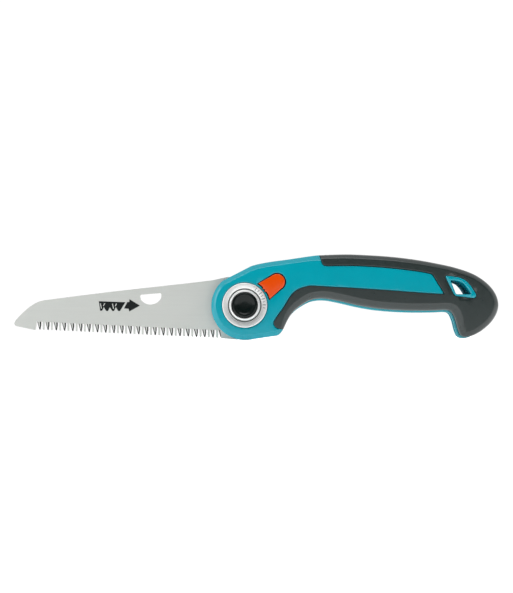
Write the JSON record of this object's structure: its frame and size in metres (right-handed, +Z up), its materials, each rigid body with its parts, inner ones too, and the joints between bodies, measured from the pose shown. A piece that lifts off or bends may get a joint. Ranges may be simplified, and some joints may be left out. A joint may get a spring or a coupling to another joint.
{
  "type": "folding pruning saw",
  "caption": "Folding pruning saw with a straight pull-cut blade, hooked soft-grip handle with hanging hole and push-button pivot lock.",
  "frame": {"origin": "centre of the opened saw's box in X and Y, at its underside", "axes": "+X from the blade's tip towards the grip's end, +Y through the thickness away from the button, +Z up, away from the teeth"},
  "size_m": [0.3494, 0.0268, 0.0615],
  "materials": {
    "blade_steel": "fine satin, ground teeth",
    "teal_plastic": "smooth semi-gloss moulding",
    "soft_grip": "fine matt texture",
    "inner_steel": "plain",
    "white_polymer": "plain",
    "bush_brass": "turned",
    "zinc_steel": "zinc plated",
    "spring_steel": "plain",
    "bezel_metal": "satin turned",
    "black_plastic": "semi-gloss",
    "orange_plastic": "semi-gloss"
  },
  "bodies": {
    "handle": {"near_shell": "teal_plastic", "far_shell": "teal_plastic", "near_grip": "soft_grip", "far_grip": "soft_grip", "near_bearing_plate": "inner_steel", "far_bearing_plate": "inner_steel", "near_friction_washer": "white_polymer", "far_friction_washer": "white_polymer", "pivot_bush": "bush_brass", "pivot_bolt": "zinc_steel", "flat_washer": "zinc_steel", "spring_washer": "spring_steel", "pivot_nut": "zinc_steel", "near_bezel": "bezel_metal", "far_bezel": "bezel_metal", "near_cap": "black_plastic", "far_cap": "black_plastic", "lock_spring": "spring_steel", "shell_screws": "zinc_steel"},
    "saw_blade": {"blade": "blade_steel"},
    "lock": {"lock_button": "orange_plastic", "lock_pin": "inner_steel"}
  },
  "joints": [
    {"name": "blade_fold", "type": "hinge", "parent": "handle", "child": "saw_blade", "pos_m": [-0.007, 0, 0.0248], "axis": [0, -1, 0], "range_deg": [0, 174]},
    {"name": "button_press", "type": "slide", "parent": "handle", "child": "lock", "axis": [0, 1, 0], "range_m": [0, 0.003], "stiffness_N_per_m": 600, "springref_m": -0.002, "deforming": ["lock_spring"]}
  ]
}
